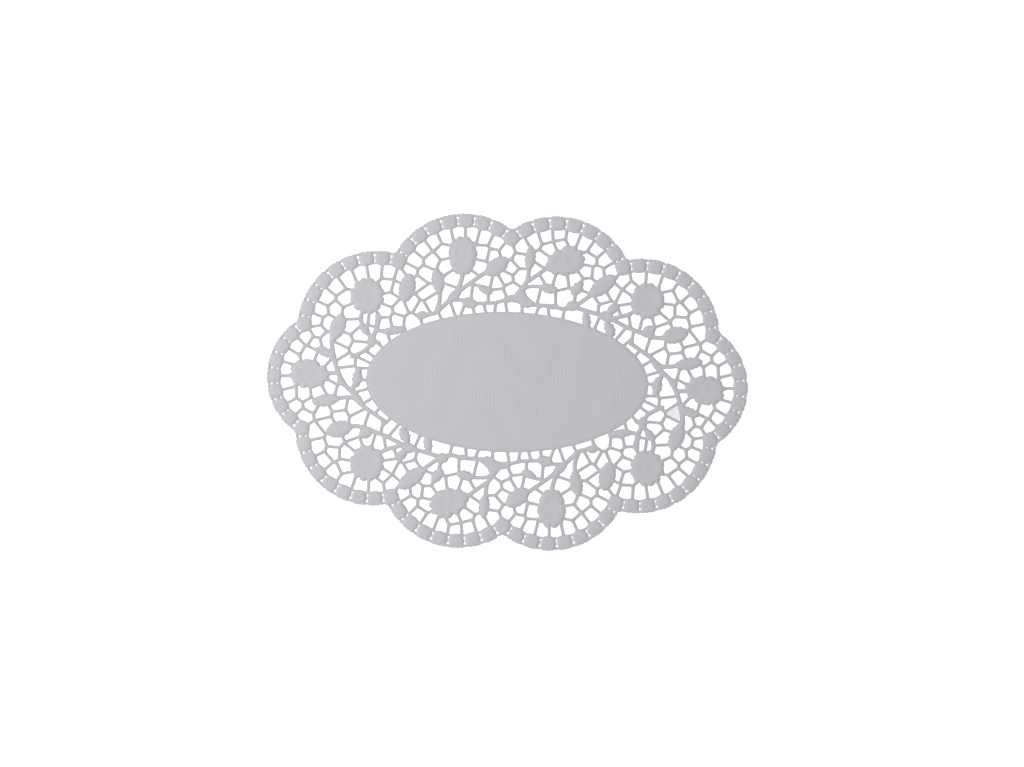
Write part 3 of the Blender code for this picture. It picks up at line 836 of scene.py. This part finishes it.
def leaf_relief(points, leaf):
    """A raised blade with its midrib and side veins pressed in."""
    u, v = own_frame(points, leaf.x, leaf.y, leaf.tilt)
    along = np.clip(1 - (u / (leaf.length / 2)) ** 2, 0, 1)
    blade = bump(v / (leaf.width / 2 * along**LEAF_FULLNESS + 1e-6)) * (along > 0)
    midrib = np.exp(-((v / MIDRIB) ** 2))
    veins = 0.5 + 0.5 * np.cos(2 * np.pi * (u - VEIN_SLANT * np.abs(v)) / VEIN_PITCH)
    return blade * (1 - MIDRIB_DEPTH * midrib - VEIN_DEPTH * veins)


def oval_depth(points):
    """About how far inside the oval's edge each point lies."""
    u, v = own_frame(points, 0.0, 0.0, OVAL_TILT)
    out = np.hypot(u / OVAL_HALF_LENGTH, v / OVAL_HALF_WIDTH)
    slope = np.hypot(u / OVAL_HALF_LENGTH**2, v / OVAL_HALF_WIDTH**2) / np.maximum(out, 1e-6)
    return (1 - out) / np.maximum(slope, 1e-6)


def rib_relief(points):
    """The fine upright ribs of the oval, which fade towards its edge and come and go in places."""
    x, y = points.T
    inner = np.clip((oval_depth(points) - RIB_START) / RIB_FADE, 0, 1)
    rib = np.round(x / RIB_PITCH)
    # These numbers only set where a rib is high, how far it fades and how it wavers.
    patch = 0.55 + 0.45 * np.sin(y / 2.3 + 2.4 * rib + 3.0 * np.sin(1.7 * rib))
    patch *= 0.8 + 0.5 * np.sin(0.37 * rib + 2.0 * np.sin(y / 9.0 + 0.11 * rib))
    return inner * patch * np.cos(2 * np.pi * x / RIB_PITCH + 0.9 * np.sin(y / 4.0 + 1.3 * rib))


def cockling(points):
    """How high the sheet itself lies: flat but for the oval, which cockles a little."""
    x, y = points.T
    # The numbers inside the sines only set where the waves lie.
    wave = np.sin(x / 6.5 + 1.8 * np.sin(y / 13.0)) * np.sin(y / 5.3 + 1.6 * np.sin(x / 11.0))
    return COCKLE * (1 + wave) * np.clip(oval_depth(points) / COCKLE_FADE, 0, 1) ** 2


def sheet_height(points, depth, paper):
    """How high the paper's upper side stands over its flat edges, in millimetres."""
    inner = np.minimum(depth, CROWN) / CROWN
    height = paper.bar_rise / MM * (1 - (1 - inner) ** 2)
    band = oval_depth(points) < 0
    height += paper.bead_rise / MM * band * bead_relief(points)
    height += paper.rope_rise / MM * band * rope_relief(points)
    for twin in (points, -points):
        for flower in FLOWERS:
            height += paper.flower_rise / MM * inner * flower_relief(twin, flower)
        for leaf in LEAVES:
            height += paper.leaf_rise / MM * inner * leaf_relief(twin, leaf)
    return height + paper.rib_rise / MM * rib_relief(points) + cockling(points)


# Making the sheet


def drawn(bm, loop):
    """The loop as edges, in millimetres."""
    verts = [bm.verts.new((x, y, 0.0)) for x, y in loop]
    return [bm.edges.new((verts[k - 1], verts[k])) for k in range(len(verts))]


def net_edges(bm, ribs):
    """The edges between two faces that are both outside the ribbed ground."""
    return [e for e in bm.edges if len(e.link_faces) == 2 and not any(f[ribs] for f in e.link_faces)]


def relaxed(bm, spacing):
    """Splits the net's long inner edges, the longest first, and evens out its triangles."""
    ribs = bm.faces.layers.int.get(RIBBED)
    for limit in (4 * spacing, 2 * spacing, spacing):
        long_edges = [edge for edge in net_edges(bm, ribs) if edge.calc_length() > limit]
        bmesh.ops.subdivide_edges(bm, edges=long_edges, cuts=1)
        net = [face for face in bm.faces if not face[ribs]]
        net = bmesh.ops.triangulate(bm, faces=net)["faces"]
        bmesh.ops.beautify_fill(bm, faces=net, edges=net_edges(bm, ribs), method="AREA")


def ribbed_ground(bm):
    """Fills the middle of the oval and slices it into the columns that the ribs need."""
    ribs = bm.faces.layers.int.new(RIBBED)
    ground = bmesh.ops.contextual_create(bm, geom=drawn(bm, oval_loop(-RIB_MARGIN, FINE.oval)))["faces"]
    ground[0][ribs] = 1
    step = RIB_PITCH / RIB_COLUMNS
    columns = int((OVAL_HALF_LENGTH - RIB_MARGIN) / step)
    rows = int(OVAL_HALF_WIDTH / RIB_ROWS)
    cuts = [((k * step, 0, 0), (1, 0, 0)) for k in range(-columns, columns + 1)]
    cuts += [((0, k * RIB_ROWS, 0), (0, 1, 0)) for k in range(-rows, rows + 1)]
    for place, normal in cuts:
        everything = bm.verts[:] + bm.edges[:] + bm.faces[:]
        bmesh.ops.bisect_plane(bm, geom=everything, plane_co=place, plane_no=normal, dist=RIB_SNAP)
    return [edge for edge in bm.edges if edge.is_boundary]


def as_mesh(bm, name):
    mesh = bpy.data.meshes.new(name)
    bm.to_mesh(mesh)
    bm.free()
    return mesh


def thickened(bm, name, paper):
    """Gives the paper's upper side its thickness and turns it into a mesh in metres."""
    under = bmesh.ops.extrude_face_region(bm, geom=bm.faces[:], use_keep_orig=True)["geom"]
    lower = [item for item in under if isinstance(item, bmesh.types.BMVert)]
    bmesh.ops.translate(bm, verts=lower, vec=(0, 0, -paper.thickness / MM))
    bmesh.ops.recalc_face_normals(bm, faces=bm.faces[:])
    bmesh.ops.scale(bm, verts=bm.verts[:], vec=(MM, MM, MM))
    for face in bm.faces:
        face.smooth = True
    for edge in bm.edges:
        edge.smooth = edge.calc_face_angle(0.0) < CUT_ANGLE
    return as_mesh(bm, name)


def cut_gaps(paper):
    """The gaps of both halves as the die cuts them."""
    half = [thinned(loop, STRAY) for loop in gap_loops(paper.bar_width / MM)]
    half = [rounded(loop, paper.corner_radius / MM) for loop in half if area(loop) > LEAST_GAP]
    return both_halves([stepped(loop, DRAWN_STEP) for loop in half])


def sheet_mesh(name, paper):
    """The doily's mesh: cut edges, the paper between them, its relief and its thickness."""
    loops = [rope_rim(), *cut_gaps(paper), *slit_loops()]
    bm = bmesh.new()
    edges = ribbed_ground(bm)
    for loop in loops:
        edges += drawn(bm, loop)
    bmesh.ops.triangle_fill(bm, edges=edges, use_beauty=True, normal=(0, 0, 1))
    relaxed(bm, paper.spacing / MM)
    points = np.array([vert.co[:2] for vert in bm.verts])
    depth = cut_depth(points, loops)
    height = sheet_height(points, depth, paper)
    # Painted shade: a mask that darkens the paper's colour near the cut edges, less in the band.
    edge_shade_mask = bm.verts.layers.float.new(EDGE_SHADE)
    banded = np.where(band_place(points)[1] < BAND, BAND_EDGE_SHADE, 1.0)
    for vert, rise, inward, share in zip(bm.verts, height, depth, banded):
        vert.co.z = paper.thickness / MM + rise
        vert[edge_shade_mask] = max(0.0, 1 - inward / EDGE_SHADE_REACH) * share
    return thickened(bm, name, paper)


def scrap_mesh(name, paper):
    """The piece that the die left in one gap, curled up a little at its ends."""
    gap = min(cut_gaps(paper), key=lambda loop: hypot(*(np.mean(loop, axis=0) - SCRAP_PLACE)))
    bm = bmesh.new()
    bm.faces.layers.int.new(RIBBED)
    whole = bmesh.ops.contextual_create(bm, geom=drawn(bm, gap))["faces"]
    rim = bmesh.ops.inset_region(bm, faces=whole, thickness=SCRAP_MARGIN, use_even_offset=True)["faces"]
    bmesh.ops.delete(bm, geom=rim, context="FACES")
    bmesh.ops.triangulate(bm, faces=bm.faces[:])
    relaxed(bm, paper.spacing / MM)
    middle = sum((vert.co for vert in bm.verts), Vector()) / len(bm.verts)
    reach = max((vert.co - middle).length for vert in bm.verts)
    for vert in bm.verts:
        vert.co.z = paper.thickness / MM + SCRAP_CURL * ((vert.co.xy - middle.xy).length / reach) ** 2
    return thickened(bm, name, paper)


# Paper


def set_inputs(node, values):
    for name, value in values.items():
        node.inputs[name].default_value = value


def added(tree, kind, values=None, **settings):
    """A new node of this kind, with its settings, and then the values of its inputs."""
    node = tree.nodes.new("ShaderNode" + kind)
    node.location.x = NODE_STEP * len(tree.nodes)
    for name, value in settings.items():
        setattr(node, name, value)
    set_inputs(node, values or {})
    return node


def join(tree, *links):
    """Links the nodes of a tree. Each link is a node, its output, the next node and its input."""
    for source, output, target, socket in links:
        tree.links.new(source.outputs[output], target.inputs[socket])


def paper_grain():
    """The node group for the paper's grain: fibres and soft clouds, from a place on the paper."""
    group = bpy.data.node_groups.get("Paper grain")
    if group is not None:
        return group
    group = bpy.data.node_groups.new("Paper grain", "ShaderNodeTree")
    interface = group.interface
    interface.new_socket("Place", in_out="INPUT", socket_type="NodeSocketVector")
    for name, scale, _ in NOISES:
        socket = interface.new_socket(name + " Scale", in_out="INPUT", socket_type="NodeSocketFloat")
        socket.default_value = scale
        interface.new_socket(name, in_out="OUTPUT", socket_type="NodeSocketFloat")
    start = group.nodes.new("NodeGroupInput")
    end = group.nodes.new("NodeGroupOutput")
    end.location.x = NODE_STEP * (len(NOISES) + 3)
    for name, _, values in NOISES:
        noise = added(group, "TexNoise", values)
        scale = (start, name + " Scale", noise, "Scale")
        join(group, (start, "Place", noise, "Vector"), scale, (noise, "Fac", end, name))
    return group


def paper_material(name, pale, deep, edge_shade_share):
    """Matt paper whose colour drifts between two close tones, partly in random clouds and partly as painted
    shade from pale at the left to deep at the right, and which is darkened by painted shade at a cut edge.
    """
    material = bpy.data.materials.new(name)
    material.use_nodes = True
    tree = material.node_tree
    finish = tree.nodes["Principled BSDF"]
    set_inputs(finish, {"Metallic": 0.0, "IOR": 1.45, "Specular IOR Level": 0.25})
    place = added(tree, "TexCoord")
    surface = added(tree, "Group", node_tree=paper_grain())
    axes = added(tree, "SeparateXYZ")
    # Painted light and shade: from the pale tone at the left to the deep tone at the right, as if lit by
    # the lamp at the left.
    reach = {"From Min": -SHADE_DRIFT_REACH, "From Max": SHADE_DRIFT_REACH}
    painted_falloff = added(tree, "MapRange", {**reach, "To Min": 1.0, "To Max": 0.0})
    drift = added(tree, "Mix", {"Factor": CLOUD_SHARE})
    tone = added(tree, "Mix", {"A": (*deep, 1.0), "B": (*pale, 1.0)}, data_type="RGBA")
    # Painted shade: the colour is darkened towards each cut edge, to a share of the deep tone.
    edge_shade_mask = added(tree, "Attribute", attribute_name=EDGE_SHADE)
    edge_shade_tone = (*(edge_shade_share * value for value in deep), 1.0)
    edge_shaded = added(tree, "Mix", {"B": edge_shade_tone}, data_type="RGBA")
    matt = added(tree, "MapRange", {"To Min": 0.78, "To Max": 0.95})
    relief = added(tree, "Bump", {"Strength": 0.5, "Distance": FIBRE_DEPTH})
    join(
        tree,
        (place, "Object", surface, "Place"),
        (place, "Object", axes, "Vector"),
        (axes, "X", painted_falloff, "Value"),
        (painted_falloff, "Result", drift, "A"),
        (surface, "Cloud", drift, "B"),
        (drift, "Result", tone, "Factor"),
        (tone, "Result", edge_shaded, "A"),
        (edge_shade_mask, "Fac", edge_shaded, "Factor"),
        (edge_shaded, "Result", finish, "Base Color"),
        (surface, "Fibre", matt, "Value"),
        (matt, "Result", finish, "Roughness"),
        (surface, "Fibre", relief, "Height"),
        (relief, "Normal", finish, "Normal"),
    )
    return material


def shown(name, data, material=None):
    """An object with this data and material, in place of an older one of that name."""
    if name in bpy.data.objects:
        bpy.data.objects.remove(bpy.data.objects[name], do_unlink=True)
    if material is not None:
        data.materials.append(material)
    item = bpy.data.objects.new(name, data)
    bpy.context.scene.collection.objects.link(item)
    return item


# What a user can change


def metres(name, description, default, least=0.0, most=0.001):
    shown_as = {"precision": 5, "unit": "LENGTH"}
    return FloatProperty(
        name=name, description=description, default=default, min=least, max=most, **shown_as
    )


def colour(name, description, default):
    return FloatVectorProperty(
        name=name, description=description, default=default, min=0.0, max=1.0, subtype="COLOR"
    )


class PaperSettings(PropertyGroup):
    thickness: metres("Paper thickness", "Thickness of the paper itself", 0.0002, 0.0001)
    bar_width: metres("Bar width", "Width of the bars between the net's gaps", 0.00155, 0.001, 0.003)
    corner_radius: metres("Corner radius", "Rounding of the gaps' corners", 0.0004, 0.0, 0.002)
    spacing: metres("Mesh spacing", "Longest edge outside the ribbed oval", 0.0018, 0.0008, 0.004)
    bar_rise: metres("Bar relief", "Rise from a cut edge to the middle of a bar or motif", 0.00025)
    bead_rise: metres("Bead relief", "How far a bead is domed above the band", 0.0002)
    rope_rise: metres("Edge relief", "Height of the twisted edge", 0.0002)
    flower_rise: metres("Flower relief", "Height of the petals and of a flower's middle", 0.0002)
    leaf_rise: metres("Leaf relief", "Height of a leaf's blade", 0.0002)
    rib_rise: metres("Rib relief", "Half the height of the oval's ribs", 0.00007)
    # The paper's colour drifts between these two tones, partly in random clouds and partly as painted shade
    # from left to right.
    pale: colour("Pale tone", "The lighter of the paper's two tones", (0.429, 0.430, 0.447))
    deep: colour("Deep tone", "The darker of the paper's two tones", (0.398, 0.404, 0.4275))
    # Painted shade: how dark the paper's colour is made at a cut edge.
    edge_shade_share: FloatProperty(
        name="Edge tone",
        description="Brightness of a cut edge, as a share of the deep tone",
        default=0.91,
        min=0.0,
        max=1.0,
        subtype="FACTOR",
    )
    scrap_tone: colour("Scrap tone", "Colour of the scrap that the die left", (0.68, 0.685, 0.70))


class StageSettings(PropertyGroup):
    floor_size: metres("Floor size", "Side of the square floor", 6.0, 1.0, 20.0)
    floor_tone: colour("Floor tone", "Colour of the floor", (0.96, 0.97, 0.98))
    sky: FloatProperty(
        name="Sky strength", description="Strength of the even light from all round", default=0.572, min=0.0
    )
    lamp: FloatProperty(
        name="Lamp power", description="Power of the lamp at the left", default=37.5, min=0.0, unit="POWER"
    )
    frame_width: metres("Frame width", "Width of floor that the camera sees", 0.5632, 0.1, 5.0)
    aim: FloatVectorProperty(
        name="Aim",
        description="The point of the floor under the camera",
        default=(0.00275, -0.0008),
        size=2,
        subtype="TRANSLATION",
        unit="LENGTH",
    )


# The steps


class DOILY_OT_make_sheet(Operator):
    """Make the embossed sheet and let it stand for the solid"""

    bl_idname = "doily.make_sheet"
    bl_label = "Doily sheet"

    def execute(self, context):
        paper = context.scene.doily_paper
        material = paper_material("lace_paper", paper.pale, paper.deep, paper.edge_shade_share)
        sheet = shown("doily_sheet", sheet_mesh("doily_sheet", paper), material)
        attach(sheet, "root")
        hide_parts(NODE)
        return {"FINISHED"}


class DOILY_OT_make_scrap(Operator):
    """Make the punched-out scrap that lies in one gap"""

    bl_idname = "doily.make_scrap"
    bl_label = "Punched-out scrap"

    def execute(self, context):
        paper = context.scene.doily_paper
        material = paper_material("scrap_paper", paper.scrap_tone, paper.scrap_tone, 1.0)
        scrap = shown("doily_scrap", scrap_mesh("doily_scrap", paper), material)
        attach(scrap, "root")
        return {"FINISHED"}


class DOILY_OT_make_stage(Operator):
    """Make the floor, the light and the camera"""

    bl_idname = "doily.make_stage"
    bl_label = "Floor, light and camera"

    def execute(self, context):
        stage = context.scene.doily_stage
        made_floor(stage)
        made_light(stage)
        context.scene.camera = made_camera(stage)
        return {"FINISHED"}


def made_floor(stage):
    bm = bmesh.new()
    bmesh.ops.create_grid(bm, x_segments=FLOOR_CELLS, y_segments=FLOOR_CELLS, size=stage.floor_size / 2)
    bmesh.ops.translate(bm, verts=bm.verts[:], vec=(0, 0, -FLOOR_DROP))
    material = bpy.data.materials.new("floor_white")
    material.use_nodes = True
    looks = {"Base Color": (*stage.floor_tone, 1.0), "Roughness": 0.9, "Specular IOR Level": 0.0}
    set_inputs(material.node_tree.nodes["Principled BSDF"], looks)
    return shown("floor", as_mesh(bm, "floor"), material)


def made_light(stage):
    world = bpy.data.worlds.new("studio")
    world.use_nodes = True
    white = (1.0, 1.0, 1.0, 1.0)
    set_inputs(world.node_tree.nodes["Background"], {"Strength": stage.sky, "Color": white})
    bpy.context.scene.world = world
    lamp = bpy.data.lights.new("lamp", "AREA")
    lamp.energy = stage.lamp
    lamp.size = LAMP_SIZE
    holder = shown("lamp", lamp)
    holder.location = LAMP_PLACE
    holder.rotation_euler = (-Vector(LAMP_PLACE)).to_track_quat("-Z", "Y").to_euler()
    bpy.context.scene.view_settings.view_transform = "Standard"


def made_camera(stage):
    """A camera straight above, with the doily's length across the picture."""
    camera = bpy.data.cameras.new("camera")
    camera.lens = LENS
    holder = shown("camera", camera)
    holder.location = (*stage.aim, stage.frame_width * camera.lens / camera.sensor_width)
    return holder


class DOILY_PT_panel(Panel):
    """The doily's settings and steps"""

    bl_idname = "DOILY_PT_panel"
    bl_label = "Lace paper doily"
    bl_space_type = "VIEW_3D"
    bl_region_type = "UI"
    bl_category = "Doily"

    def draw(self, context):
        for settings in (context.scene.doily_paper, context.scene.doily_stage):
            for name in settings.__annotations__:
                self.layout.prop(settings, name)
        for step in STEPS:
            self.layout.operator(step.bl_idname)


STEPS = (DOILY_OT_make_sheet, DOILY_OT_make_scrap, DOILY_OT_make_stage)
CLASSES = (PaperSettings, StageSettings, *STEPS, DOILY_PT_panel)


def register():
    for each in CLASSES:
        bpy.utils.register_class(each)
    bpy.types.Scene.doily_paper = PointerProperty(type=PaperSettings)
    bpy.types.Scene.doily_stage = PointerProperty(type=StageSettings)


def unregister():
    del bpy.types.Scene.doily_stage
    del bpy.types.Scene.doily_paper
    for each in reversed(CLASSES):
        bpy.utils.unregister_class(each)


def main():
    register()
    bpy.ops.doily.make_sheet()
    bpy.ops.doily.make_scrap()
    bpy.ops.doily.make_stage()


if __name__ == "__main__":
    main()
